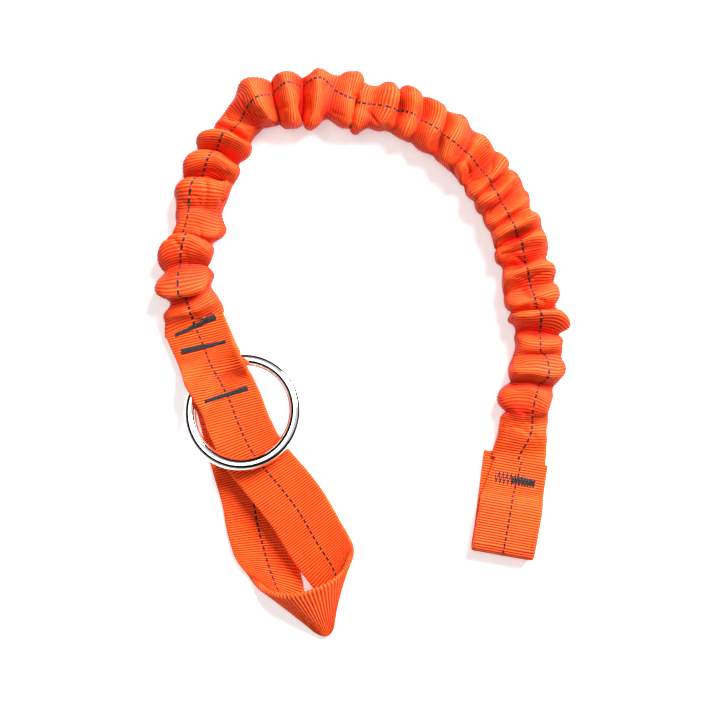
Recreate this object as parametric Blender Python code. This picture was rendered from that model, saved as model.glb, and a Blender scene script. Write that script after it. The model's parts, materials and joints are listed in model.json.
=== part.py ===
"""Shock absorbing lanyard: a gathered webbing sleeve over an elastic core.

A welded ring is sewn into one end, with a choke loop past it. The other end is a sewn eye. It lies flat, and
+Z is up.

Sizes are in millimetres and become metres where a mesh is made. The origin is the middle of the footprint.
"""

import math

import bmesh
import bpy
import numpy as np
from mathutils import Vector
from mathutils.bvhtree import BVHTree

MM = 0.001
CLEARANCE = 0.3

# Webbing: a tubular strap pressed flat
WEBBING_WIDTH = 25.4
WEBBING_THICKNESS = 2.0

# Gathered sleeve over the elastic core
SLEEVE_WIDTH = 23.0
SLEEVE_HEIGHT = 14.0
SLEEVE_WALL = 2.0
SLEEVE_END_HEIGHT = 7.0
SLEEVE_TAPER = 16.0
SLEEVE_SECTIONS = 7
CORE_DIAMETER = 6.0
CORE_SPREAD = 0.6

# Welded ring
RING_OUTER_DIAMETER = 47.6
RING_WIRE_DIAMETER = 5.0
RING_SWING_DEG = 75.0
RING_CENTRE = (-47.8, -22.8)
RING_TILT_DEG = 12.5

# Thread
TACK_THICKNESS = 0.8
TACK_WIDTH = 1.3
TACK_SEAT_MARGIN = 1.2
ZIGZAG_HEIGHT = 5.0
ZIGZAG_TEETH = 9
ZIGZAG_SPAN_SHARE = 0.62
ZIGZAG_BAR_WIDTH = 2.08

# Eye at the far end
EYE_OPENING = 5.6
EYE_TACK_FROM_END = 8.0
EYE_RISE_LENGTH = 10.0

FLOOR_LAYER_Z = WEBBING_THICKNESS / 2
SEWN_LAYER_Z = FLOOR_LAYER_Z + WEBBING_THICKNESS + CLEARANCE
DRAPE_SLOPE = 2.2
ABOVE_ALL = 100.0

# The sleeve's route, from the ring end to the eye, seen from above
SLEEVE_ROUTE = [
    (-67.4, 18.4), (-69.2, 26.0), (-70.2, 34.0), (-69.5, 41.0), (-66.8, 49.5), (-64.2, 58.5), (-61.6, 68.5),
    (-57.0, 79.5), (-50.5, 90.5), (-42.0, 98.0), (-31.0, 101.4), (-19.0, 102.2), (-6.0, 101.0), (8.0, 98.6),
    (20.8, 94.4), (33.0, 87.2), (44.0, 77.8), (52.0, 67.2), (58.4, 55.4), (63.0, 43.0), (66.6, 29.0),
    (69.6, 15.0), (70.2, 3.0), (68.6, -8.5), (66.2, -19.0), (64.8, -30.0), (63.2, -41.4),
]

# The choke loop, from the ring end round the half-twist and back underneath: the outer edge (x, y, z) and the
# inner edge (x, y, z) of the webbing's middle surface. The width is then set to WEBBING_WIDTH.
SEWN = SEWN_LAYER_Z
FLOOR = FLOOR_LAYER_Z
FRONT_STRAP = [
    ((-54.2, 19.8, SEWN), (-79.2, 13.8, SEWN)),
    ((-50.5, 4.7, SEWN), (-75.3, -1.4, SEWN)),
    ((-46.4, -4.0, SEWN), (-71.2, -10.6, SEWN)),
    ((-40.8, -15.8, SEWN), (-65.2, -22.2, SEWN)),
    ((-37.0, -24.4, 6.2), (-62.0, -31.0, 5.4)),
    ((-31.4, -34.0, 9.3), (-55.0, -45.8, 6.6)),
    ((-20.8, -46.4, 9.5), (-42.6, -61.6, 7.8)),
    ((-14.6, -55.0, 9.6), (-35.4, -71.0, 7.6)),
    ((-8.5, -66.0, 10.0), (-29.0, -81.4, 6.4)),
    ((-4.8, -73.4, 10.6), (-22.4, -90.0, 4.2)),
]
TWIST = [
    ((-3.7, -77.8, 11.0), (-17.6, -96.0, 2.8)),
    ((-5.0, -82.0, 11.6), (-13.4, -103.6, 1.7)),
    ((-8.6, -87.2, 12.8), (-12.2, -109.2, 1.5)),
    ((-14.8, -91.6, 14.4), (-12.9, -112.2, 1.4)),
    ((-22.8, -94.4, 15.2), (-14.6, -113.2, 1.3)),
    ((-30.0, -95.8, 12.6), (-16.4, -112.6, 1.2)),
    ((-36.6, -95.4, 7.4), (-18.8, -111.0, 1.2)),
    ((-41.8, -93.0, 3.2), (-21.2, -107.4, 1.1)),
    ((-46.2, -89.0, FLOOR), (-22.4, -99.0, FLOOR)),
]
BACK_STRAP = [
    ((-49.6, -84.6, FLOOR), (-24.6, -88.6, FLOOR)),
    ((-52.0, -79.6, FLOOR), (-27.0, -77.6, FLOOR)),
    ((-54.6, -70.6, FLOOR), (-29.6, -66.8, FLOOR)),
    ((-56.4, -60.2, FLOOR), (-31.6, -55.6, FLOOR)),
    ((-59.6, -49.6, FLOOR), (-35.0, -43.4, FLOOR)),
    ((-63.2, -36.4, FLOOR), (-39.0, -29.0, FLOOR)),
    ((-67.0, -22.6, FLOOR), (-42.4, -15.0, FLOOR)),
    ((-71.2, -10.6, FLOOR), (-46.4, -4.0, FLOOR)),
    ((-75.3, -1.4, FLOOR), (-50.5, 4.7, FLOOR)),
    ((-79.2, 13.8, FLOOR), (-54.2, 19.8, FLOOR)),
]

# Bar tacks across the ring end: left end and right end, seen from above
BAR_TACKS = {
    "bar_tack_upper": ((-75.0, 7.7), (-58.9, 15.1)),
    "bar_tack_middle": ((-72.5, 1.2), (-54.8, 5.1)),
    "bar_tack_lower": ((-62.9, -18.8), (-46.1, -13.5)),
}

# The eye's webbing lies along a line from its sewn end to its fold
EYE_START = (63.0, -42.6)
EYE_END = (56.2, -80.6)


def unit(vector):
    vector = np.asarray(vector, float)
    return vector / np.linalg.norm(vector)


def smooth_curve(points, spacing):
    """Points about this far apart on a Catmull-Rom curve through the given ones, of any dimension."""
    points = np.asarray(points, float)
    ends = np.vstack([2 * points[0] - points[1], points, 2 * points[-1] - points[-2]])
    curve = []
    for p0, p1, p2, p3 in zip(ends, ends[1:], ends[2:], ends[3:]):
        for t in np.linspace(0, 1, 17)[:-1]:
            curve.append(
                0.5 * (2 * p1 + (p2 - p0) * t + (2 * p0 - 5 * p1 + 4 * p2 - p3) * t**2
                       + (3 * p1 - p0 - 3 * p2 + p3) * t**3)
            )
    curve.append(points[-1])
    curve = np.array(curve)
    along = np.concatenate([[0], np.cumsum(np.linalg.norm(np.diff(curve, axis=0), axis=1))])
    steps = np.linspace(0, along[-1], max(2, round(along[-1] / spacing)) + 1)
    return np.stack([np.interp(steps, along, column) for column in curve.T], axis=1), steps


def make_material(name, colour, roughness, metallic=0.0):
    material = bpy.data.materials.new(name)
    material.use_nodes = True
    shader = material.node_tree.nodes["Principled BSDF"]
    shader.inputs["Base Color"].default_value = (*colour, 1)
    shader.inputs["Roughness"].default_value = roughness
    shader.inputs["Metallic"].default_value = metallic
    return material


def add_object(name, vertices, faces, material, origin=(0.0, 0.0, 0.0)):
    """A closed mesh from points in millimetres, with the object's origin at this point."""
    mesh = bpy.data.meshes.new(name)
    mesh.from_pydata(((np.asarray(vertices) - origin) * MM).tolist(), [], faces)
    edit = bmesh.new()
    edit.from_mesh(mesh)
    bmesh.ops.recalc_face_normals(edit, faces=edit.faces)
    edit.to_mesh(mesh)
    edit.free()
    mesh.shade_smooth()
    mesh.set_sharp_from_angle(angle=math.radians(40))
    mesh.materials.append(material)
    made = bpy.data.objects.new(name, mesh)
    made.location = [value * MM for value in origin]
    bpy.context.scene.collection.objects.link(made)
    return made


def side_faces(rings, size, first=0):
    """The quads between neighbouring rings of this many points each."""
    return [
        (first + i * size + j, first + i * size + (j + 1) % size,
         first + (i + 1) * size + (j + 1) % size, first + (i + 1) * size + j)
        for i in range(rings - 1)
        for j in range(size)
    ]


def solid_loft(rings):
    """A solid through closed rings of points, with flat ends."""
    size = len(rings[0])
    last = (len(rings) - 1) * size
    faces = side_faces(len(rings), size)
    faces += [tuple(range(size)), tuple(range(last, last + size))[::-1]]
    return np.concatenate(rings), faces


def tube_loft(outer, inner):
    """An open-ended tube between two stacks of closed rings."""
    size = len(outer[0])
    count = len(outer)
    start = count * size
    faces = side_faces(count, size) + [face[::-1] for face in side_faces(count, size, start)]
    for row in (0, count - 1):
        for j in range(size):
            near = row * size + j
            beside = row * size + (j + 1) % size
            faces.append((near, beside, start + beside, start + near))
    return np.concatenate(outer + inner), faces


def strip_solid(grid, thickness):
    """A strap of this thickness about a middle surface, given as rows of points across the strap."""
    along = np.gradient(grid, axis=0)
    across = np.gradient(grid, axis=1)
    normals = np.cross(along, across)
    normals /= np.linalg.norm(normals, axis=2)[:, :, None]
    over = grid + normals * thickness / 2
    under = grid - normals * thickness / 2
    return solid_loft([np.concatenate([o, u[::-1]]) for o, u in zip(over, under)])


def stadium(width, height, count=16):
    """A flat oval about the origin, in its own (across, up) plane."""
    angles = np.linspace(0, 2 * math.pi, count, endpoint=False)
    across = np.sign(np.cos(angles)) * np.abs(np.cos(angles)) ** 0.8 * width / 2
    up = np.sign(np.sin(angles)) * np.abs(np.sin(angles)) ** 0.8 * height / 2
    return np.stack([across, up], axis=1)


# ------------------------------------------------------------------ ring

RING_RADIUS = (RING_OUTER_DIAMETER - RING_WIRE_DIAMETER) / 2
WIRE_RADIUS = RING_WIRE_DIAMETER / 2
POCKET_Z = WEBBING_THICKNESS + CLEARANCE + WIRE_RADIUS


def pocket_frame():
    """The hinge point, where the wire crosses the strap's middle, the direction from it to the ring's centre,
    and the hinge axis."""
    strap = np.array(FRONT_STRAP[1:3]).mean(axis=(0, 1))
    toward = unit(np.array(RING_CENTRE) - strap[:2])
    reach = RING_RADIUS * math.cos(math.radians(RING_TILT_DEG))
    start = np.array(RING_CENTRE) - toward * reach
    return np.append(start, POCKET_Z), np.append(toward, 0.0), np.array([-toward[1], toward[0], 0.0])


def wire_point(angle, lift):
    """A point of the wire's centre line: angle is counted from the pocket, lift is the ring plane's tilt."""
    start, toward, axis = pocket_frame()
    reach = RING_RADIUS * (1 - math.cos(angle))
    level = toward * math.cos(lift) + np.array([0, 0, math.sin(lift)])
    return start + level * reach + axis * RING_RADIUS * math.sin(angle)


def make_ring(material):
    start, toward, axis = pocket_frame()
    lift = math.radians(RING_TILT_DEG)
    level = toward * math.cos(lift) + np.array([0, 0, math.sin(lift)])
    normal = np.cross(level, axis)
    centre = start + level * RING_RADIUS
    rings = []
    for turn in np.linspace(0, 2 * math.pi, 40, endpoint=False):
        middle = wire_point(turn, lift)
        outward = unit(middle - centre)
        rings.append([
            middle + WIRE_RADIUS * (outward * math.cos(a) + normal * math.sin(a))
            for a in np.linspace(0, 2 * math.pi, 12, endpoint=False)
        ])
    size = len(rings[0])
    faces = side_faces(len(rings), size)
    last = (len(rings) - 1) * size
    faces += [(last + j, last + (j + 1) % size, (j + 1) % size, j) for j in range(size)]
    add_object("ring", np.concatenate(rings), faces, material, origin=start)


# ------------------------------------------------------------------ choke loop

def swept_wire():
    """Points of the wire's centre line inside the pocket, over the ring's whole swing."""
    lifts = np.radians(RING_TILT_DEG + np.linspace(0, RING_SWING_DEG, 11))
    half_width = math.asin(min(1.0, (WEBBING_WIDTH / 2 + WIRE_RADIUS) / RING_RADIUS))
    angles = np.linspace(-half_width, half_width, 41)
    return np.array([wire_point(angle, lift) for lift in lifts for angle in angles])


SWEPT_WIRE = swept_wire()


def draped_z(x, y):
    """The height of a strap's middle surface over the swinging wire, falling away at DRAPE_SLOPE."""
    reach = WIRE_RADIUS + 2 * CLEARANCE + WEBBING_THICKNESS / 2
    distance = np.hypot(SWEPT_WIRE[:, 0] - x, SWEPT_WIRE[:, 1] - y)
    tangent = math.sqrt(1 + DRAPE_SLOPE**2)
    dome = SWEPT_WIRE[:, 2] + np.sqrt(np.clip(reach**2 - distance**2, 0, None))
    skirt = SWEPT_WIRE[:, 2] + reach * tangent - DRAPE_SLOPE * distance
    heights = np.where(distance < reach * DRAPE_SLOPE / tangent, dome, skirt)
    return heights.max()


def choke_loop_grid(across=9, spacing=3.0):
    """Rows of points across the webbing's middle surface."""
    pairs = np.array(FRONT_STRAP + TWIST + BACK_STRAP)
    rows, along = smooth_curve(pairs.reshape(len(pairs), 6), spacing)
    front_rows = along < 0.5 * along[-1]
    shares = np.linspace(-0.5, 0.5, across)
    grid = []
    for row, is_front in zip(rows, front_rows):
        outer, inner = row[:3], row[3:]
        middle = (outer + inner) / 2
        line = middle + np.outer(shares, unit(inner - outer)) * WEBBING_WIDTH
        if is_front:
            for point in line:
                point[2] = max(point[2], draped_z(point[0], point[1]))
        grid.append(line)
    return np.array(grid)


def make_choke_loop(material):
    vertices, faces = strip_solid(choke_loop_grid(), WEBBING_THICKNESS)
    vertices[:, 2] = np.maximum(vertices[:, 2], 0.0)
    add_object("choke_loop_webbing", vertices, faces, material)
    return BVHTree.FromPolygons(vertices.tolist(), faces)


def top_z(surface, point):
    """The height of the top of a surface at a point seen from above, and of the sewn layers beside it."""
    hit = surface.ray_cast(Vector((point[0], point[1], ABOVE_ALL)), Vector((0, 0, -1)))[0]
    return hit.z if hit else SEWN_LAYER_Z + WEBBING_THICKNESS / 2


def make_bar_tack(name, ends, surface, material):
    """A bar of thread that follows the top of the strap between two points."""
    left, right = np.array(ends[0]), np.array(ends[1])
    side = np.array([-(right - left)[1], (right - left)[0]])
    side = side / np.linalg.norm(side) * TACK_WIDTH / 2
    rings = []
    shares = np.linspace(0, 1, 21)
    step = (right - left) * shares[1]
    for share in shares:
        middle = left + (right - left) * share
        around = [
            middle + side * out + step * back
            for out in (-TACK_SEAT_MARGIN, 0, TACK_SEAT_MARGIN)
            for back in (-1, 0, 1)
        ]
        low = max(top_z(surface, point) for point in around) + CLEARANCE
        corners = [middle - side, middle + side]
        rings.append(
            [(*corners[0], low), (*corners[1], low),
             (*corners[1], low + TACK_THICKNESS), (*corners[0], low + TACK_THICKNESS)]
        )
    vertices, faces = solid_loft([np.array(ring) for ring in rings])
    add_object(name, vertices, faces, material)


# ------------------------------------------------------------------ sleeve and core

def section_height(s, length):
    """The sleeve's height at this distance along it: it flattens towards both sewn ends."""
    near_end = min(s, length - s) / SLEEVE_TAPER
    share = min(1.0, max(0.0, near_end))
    return SLEEVE_END_HEIGHT + (SLEEVE_HEIGHT - SLEEVE_END_HEIGHT) * share * share * (3 - 2 * share)


def station_ring(point, tangent, shape, middle_z):
    """A closed ring square to the route, with its middle at this height."""
    across = np.array([tangent[1], -tangent[0], 0.0])
    middle = np.array([point[0], point[1], middle_z])
    return [middle + across * a + np.array([0, 0, up]) for a, up in shape]


def make_sleeve_and_core(sleeve_material, core_material):
    route, along = smooth_curve(SLEEVE_ROUTE, 1.0)
    length = along[-1]
    tangents = np.gradient(route, axis=0)
    tangents /= np.linalg.norm(tangents, axis=1)[:, None]
    step = length / SLEEVE_SECTIONS
    for index in range(SLEEVE_SECTIONS):
        start = index * step + CLEARANCE / 2
        stop = (index + 1) * step - CLEARANCE / 2
        outer, inner, core = [], [], []
        for s in np.linspace(start, stop, 10):
            point = np.array([np.interp(s, along, route[:, 0]), np.interp(s, along, route[:, 1])])
            tangent = unit([np.interp(s, along, tangents[:, 0]), np.interp(s, along, tangents[:, 1])])
            height = section_height(s, length)
            room = height - 2 * SLEEVE_WALL
            thick = min(CORE_DIAMETER, room - 2 * CLEARANCE)
            wide = min(CORE_DIAMETER**2 / thick, CORE_SPREAD * (SLEEVE_WIDTH - 2 * SLEEVE_WALL))
            outer.append(station_ring(point, tangent, stadium(SLEEVE_WIDTH, height), height / 2))
            inside = stadium(SLEEVE_WIDTH - 2 * SLEEVE_WALL, room)
            inner.append(station_ring(point, tangent, inside, height / 2))
            lying = SLEEVE_WALL + CLEARANCE + thick / 2
            core.append(station_ring(point, tangent, stadium(wide, thick, 10), lying))
        vertices, faces = tube_loft(outer, inner)
        add_object(f"sleeve_section_{index}", vertices, faces, sleeve_material)
        vertices, faces = solid_loft(core)
        add_object(f"elastic_core_{index}", vertices, faces, core_material)


# ------------------------------------------------------------------ eye

def eye_frame():
    start, end = np.array(EYE_START), np.array(EYE_END)
    toward = unit(end - start)
    return start, toward, np.array([toward[1], -toward[0]]), float(np.linalg.norm(end - start))


def eye_profile():
    """The eye's middle surface from the side, as (distance along, height): the top, the fold, then back."""
    length = eye_frame()[3]
    half = (EYE_OPENING + WEBBING_THICKNESS) / 2
    fold = length - half - WEBBING_THICKNESS / 2
    sewn = EYE_TACK_FROM_END + ZIGZAG_HEIGHT
    full = FLOOR_LAYER_Z + 2 * half
    top = [(0.0, SEWN_LAYER_Z), (sewn / 2, SEWN_LAYER_Z), (sewn, SEWN_LAYER_Z)]
    most = SEWN_LAYER_Z + 0.75 * (full - SEWN_LAYER_Z)
    rise = [(sewn + EYE_RISE_LENGTH / 2, most), (sewn + EYE_RISE_LENGTH, full)]
    bend = [
        (fold + half * math.sin(a), FLOOR_LAYER_Z + half + half * math.cos(a))
        for a in np.linspace(0, math.pi, 9)
    ]
    below = [(fold * 0.5, FLOOR_LAYER_Z), (0.0, FLOOR_LAYER_Z)]
    return top + rise + bend + below


def make_eye(webbing_material, thread_material):
    start, toward, across, _ = eye_frame()
    profile = smooth_curve(eye_profile(), 2.2)[0]
    grid = []
    for distance, z in profile:
        middle = start + toward * distance
        grid.append([
            (*(middle + across * share * WEBBING_WIDTH), z)
            for share in (-0.5, -0.25, 0.0, 0.25, 0.5)
        ])
    vertices, faces = strip_solid(np.array(grid), WEBBING_THICKNESS)
    add_object("eye_webbing", vertices, faces, webbing_material)
    make_zigzag(start + toward * EYE_TACK_FROM_END, toward, across, thread_material)


def make_zigzag(middle, toward, across, material):
    """A zigzag of thread across the strap, as one bar that turns at each tooth."""
    low = SEWN_LAYER_Z + WEBBING_THICKNESS / 2 + CLEARANCE
    span = WEBBING_WIDTH * ZIGZAG_SPAN_SHARE
    corners = [
        middle + across * span * (i / ZIGZAG_TEETH - 0.5) + toward * ZIGZAG_HEIGHT * (0.5 if i % 2 else -0.5)
        for i in range(ZIGZAG_TEETH + 1)
    ]
    wide = toward * ZIGZAG_BAR_WIDTH / 2
    rings = [
        np.array([(*(c - wide), low), (*(c + wide), low),
                  (*(c + wide), low + TACK_THICKNESS), (*(c - wide), low + TACK_THICKNESS)])
        for c in corners
    ]
    vertices, faces = solid_loft(rings)
    add_object("zigzag_tack", vertices, faces, material)


def main():
    for old in list(bpy.data.objects):
        bpy.data.objects.remove(old)
    webbing = make_material("orange_webbing", (0.95, 0.10, 0.02), 0.8)
    thread = make_material("slate_thread", (0.038, 0.056, 0.062), 0.75)
    chrome = make_material("chrome_wire", (0.85, 0.85, 0.86), 0.08, metallic=1.0)
    elastic = make_material("elastic_braid", (0.62, 0.60, 0.55), 0.8)
    make_ring(chrome)
    loop_surface = make_choke_loop(webbing)
    for name, ends in BAR_TACKS.items():
        make_bar_tack(name, ends, loop_surface, thread)
    make_sleeve_and_core(webbing, elastic)
    make_eye(webbing, thread)


main()
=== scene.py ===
"""The looks of the shock absorbing lanyard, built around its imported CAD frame.

+Z is up. Lengths written with MM, and the stage's, are in metres. Other bare lengths are in millimetres.
"""

import json
import math

import bpy
import numpy as np
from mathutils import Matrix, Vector
from mathutils.bvhtree import BVHTree


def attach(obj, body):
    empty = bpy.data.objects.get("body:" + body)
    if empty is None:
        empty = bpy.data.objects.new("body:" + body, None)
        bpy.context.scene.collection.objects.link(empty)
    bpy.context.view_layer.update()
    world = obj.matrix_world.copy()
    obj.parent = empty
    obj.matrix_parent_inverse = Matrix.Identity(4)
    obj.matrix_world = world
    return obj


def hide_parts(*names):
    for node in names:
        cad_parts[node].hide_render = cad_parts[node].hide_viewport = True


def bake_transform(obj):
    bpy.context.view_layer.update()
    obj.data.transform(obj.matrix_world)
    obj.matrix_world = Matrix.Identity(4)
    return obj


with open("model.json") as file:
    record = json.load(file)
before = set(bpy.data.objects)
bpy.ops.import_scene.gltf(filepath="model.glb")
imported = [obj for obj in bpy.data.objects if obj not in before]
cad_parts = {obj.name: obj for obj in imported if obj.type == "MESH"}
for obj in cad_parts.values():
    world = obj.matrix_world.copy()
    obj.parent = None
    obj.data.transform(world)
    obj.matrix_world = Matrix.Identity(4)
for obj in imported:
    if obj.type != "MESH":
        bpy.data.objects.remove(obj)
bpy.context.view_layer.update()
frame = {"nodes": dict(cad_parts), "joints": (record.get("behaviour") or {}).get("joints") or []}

MM = 0.001
WEBBING_WIDTH = 25.4 * MM
WEBBING_THICKNESS = 2.0 * MM
CLEARANCE = 0.3 * MM
RIB_PITCH = 1.04 * MM
RIB_HEIGHT = 0.34 * MM
ROWS_PER_RIB = 4
TRACER_PERIOD = 2.5 * MM
TRACER_WIDTH = 0.78 * MM
THREAD_RADIUS = 0.19 * MM

FLOOR_LAYER_Z = WEBBING_THICKNESS / 2
SEWN_LAYER_Z = FLOOR_LAYER_Z + WEBBING_THICKNESS + CLEARANCE

RING_WIRE_RADIUS = 2.5 * MM
RING_RADIUS = 21.3 * MM
RING_TILT = math.radians(12.5)

# The sleeve's route seen from above, from the upper bar tack to the eye (millimetres): the CAD's points, with
# two more before them and one after
SLEEVE_ROUTE = [
    (-66.9, 11.6), (-67.0, 15.0), (-67.4, 18.4), (-69.2, 26.0), (-70.2, 34.0), (-69.5, 41.0), (-66.8, 49.5),
    (-64.2, 58.5), (-61.6, 68.5), (-57.0, 79.5), (-50.5, 90.5), (-42.0, 98.0), (-31.0, 101.4), (-19.0, 102.2),
    (-6.0, 101.0), (8.0, 98.6), (20.8, 94.4), (33.0, 87.2), (44.0, 77.8), (52.0, 67.2), (58.4, 55.4),
    (63.0, 43.0), (66.6, 29.0), (69.6, 15.0), (70.2, 3.0), (68.6, -8.5), (66.2, -19.0), (64.8, -30.0),
    (63.2, -41.4), (62.6, -44.6),
]
ROUTE_SPACING = 0.5
HIDDEN_START = 6.8 * MM
HIDDEN_END = 3.25 * MM

# The elastic core: its radius at the ends and how much more it has inside, and its braid
CORE_END_RADIUS = 0.5
CORE_MORE_RADIUS = 2.3
CORE_TAPER = 16 * MM
CORE_BOTTOM = 2.3 * MM
CORE_SHORT_OF_END = 6 * MM
CORE_ROW_SPACING = 0.4 * MM
BRAID_PITCH = 3.2 * MM
BRAID_STRANDS = 5
BRAID_HEIGHT = 0.05

# One row for each fold of the sleeve. First its crest: distance along the route, height, left and right
# half-width, how far its left and right ends run ahead of its middle, how far its top leans forward, and
# how far right of the middle the tracer lies. Then the valley after it, as shares of the full depth at the
# left, top and right, and how tightly it closes. Left is the outer side of the arch. All in millimetres or
# shares.
FOLDS = [
    (0.0, 4.7, 12.6, 11.8, -5.0, 4.4, 0.0, -0.4, 0.20, 0.00, 0.00, 0.2),
    (7.0, 9.6, 12.8, 10.6, -1.8, 3.0, -1.2, -1.2, 0.80, 0.90, 0.50, 0.4),
    (17.4, 15.2, 13.4, 10.8, -1.0, 2.4, -4.2, -2.8, 0.70, 0.75, 0.70, 0.55),
    (31.0, 14.6, 11.8, 9.6, -3.6, -1.8, 3.6, -2.0, 1.00, 0.45, 1.00, 0.92),
    (41.2, 12.8, 8.4, 12.2, -2.6, 0.6, -0.8, -4.4, 0.20, 0.40, 0.70, 0.30),
    (54.0, 15.4, 12.4, 9.8, -3.2, 2.4, 3.2, -4.2, 0.90, 0.85, 0.70, 0.95),
    (66.4, 15.6, 11.6, 10.2, -4.4, -1.8, 3.0, -2.4, 0.80, 0.95, 0.80, 0.92),
    (76.6, 15.2, 11.2, 10.6, -3.6, 1.4, 2.4, -1.8, 1.00, 0.80, 0.60, 0.55),
    (84.6, 11.4, 7.8, 7.6, -1.6, 1.0, 0.0, 0.0, 0.50, 0.35, 0.90, 0.40),
    (95.6, 17.0, 12.4, 8.8, 0.6, 1.4, 0.8, -2.4, 1.00, 0.95, 0.50, 0.95),
    (109.0, 16.4, 11.6, 11.6, -0.6, -0.8, -0.6, -5.0, 1.00, 0.95, 1.00, 0.85),
    (118.6, 16.0, 11.8, 12.6, 0.8, -1.6, 0.6, -6.4, 0.30, 0.35, 1.00, 0.50),
    (130.2, 15.8, 12.6, 10.6, 2.4, 0.4, 3.0, -0.6, 1.00, 0.95, 0.30, 0.96),
    (138.2, 13.4, 7.8, 12.4, 0.6, -1.0, -0.6, 0.2, 0.10, 0.15, 0.70, 0.20),
    (146.6, 15.6, 10.8, 9.2, -1.0, -0.8, 2.8, 0.0, 0.50, 0.85, 0.60, 0.80),
    (155.6, 15.4, 11.2, 9.6, -1.8, 0.8, 2.6, -0.6, 0.40, 0.75, 0.50, 0.80),
    (165.8, 15.4, 10.4, 10.4, -2.4, 1.6, 2.8, 0.0, 0.40, 0.80, 0.60, 0.88),
    (176.6, 14.8, 11.2, 9.6, -2.6, 3.8, -0.8, 0.4, 0.70, 0.35, 0.40, 0.60),
    (188.4, 15.8, 10.8, 9.8, -2.0, 0.6, -2.2, 0.2, 0.40, 0.85, 0.50, 0.70),
    (197.2, 14.6, 10.8, 10.6, -2.4, 1.4, 0.8, 0.0, 0.30, 0.75, 0.40, 0.70),
    (204.8, 15.0, 11.6, 10.0, -2.2, 0.6, -0.8, 0.4, 0.20, 0.95, 0.40, 0.55),
    (212.4, 14.4, 11.2, 10.2, -1.6, 1.4, 0.6, 0.2, 0.30, 0.65, 0.40, 0.80),
    (219.4, 15.2, 11.8, 9.8, -1.2, 2.2, -0.6, 0.0, 0.30, 0.95, 0.60, 0.45),
    (229.0, 15.6, 12.0, 10.0, -0.8, 0.2, -2.6, -0.6, 0.50, 1.00, 0.50, 0.45),
    (239.8, 15.6, 11.4, 10.6, 0.4, 0.4, -2.4, 0.0, 0.30, 0.70, 0.30, 0.45),
    (248.6, 13.6, 11.2, 11.2, 0.0, 0.6, 0.8, -0.4, 0.80, 0.75, 0.50, 0.85),
    (258.8, 16.2, 13.4, 11.4, 1.0, -2.4, -2.8, -1.0, 0.80, 0.95, 0.80, 0.45),
    (266.6, 12.6, 9.8, 9.2, 0.6, -0.6, 0.4, -0.6, 0.20, 0.60, 0.30, 0.60),
    (276.2, 15.6, 12.2, 10.4, -0.6, 2.6, 2.6, -4.0, 0.70, 0.80, 1.00, 0.85),
    (288.6, 12.4, 9.6, 12.4, 1.4, 2.2, -1.2, -2.4, 0.40, 0.45, 1.00, 0.60),
    (301.6, 8.4, 9.6, 9.8, -2.0, -1.0, 0.6, -3.0, 0.10, 0.00, 0.10, 0.20),
    (314.8, 4.5, 11.0, 11.0, 0.0, 0.0, 0.0, 0.2, 0.00, 0.00, 0.00, 0.00),
]
ROUTE, CREST_Z, LEFT, RIGHT, SKEW_LEFT, SKEW_RIGHT = range(6)
LEAN, TRACER, VALLEY_LEFT, VALLEY_TOP, VALLEY_RIGHT, TIGHT = range(6, 12)

# Every crest over CREST_FROM is raised by CREST_RAISE times its height over CREST_BASE. A fold's tightness is
# TIGHTNESS_SHARE of what FOLDS says, apart from the few that stay closed.
CREST_FROM, CREST_BASE, CREST_RAISE = 12.0, 9.0, 0.22
TIGHTNESS_SHARE = 0.45
CLOSED_FOLDS = {3: 0.85, 5: 0.80, 6: 0.75, 9: 0.85, 10: 0.50, 12: 0.90, 16: 0.60}
VALLEY_Z = 8.9
VALLEY_HALF_WIDTH = 7.8
BOTTOM_LIFT = 1.9
PLACE_PASSES = 160
OVAL_POWER = 0.66
CRUMPLE_DEPTH = 0.7 * MM
FINE_CRUMPLE_DEPTH = 0.3 * MM
SWELL_HEIGHT = 0.45 * MM
SLEEVE_TOP_FLOOR = 4.8 * MM
ABOVE_FLOOR = 0.04 * MM

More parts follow.
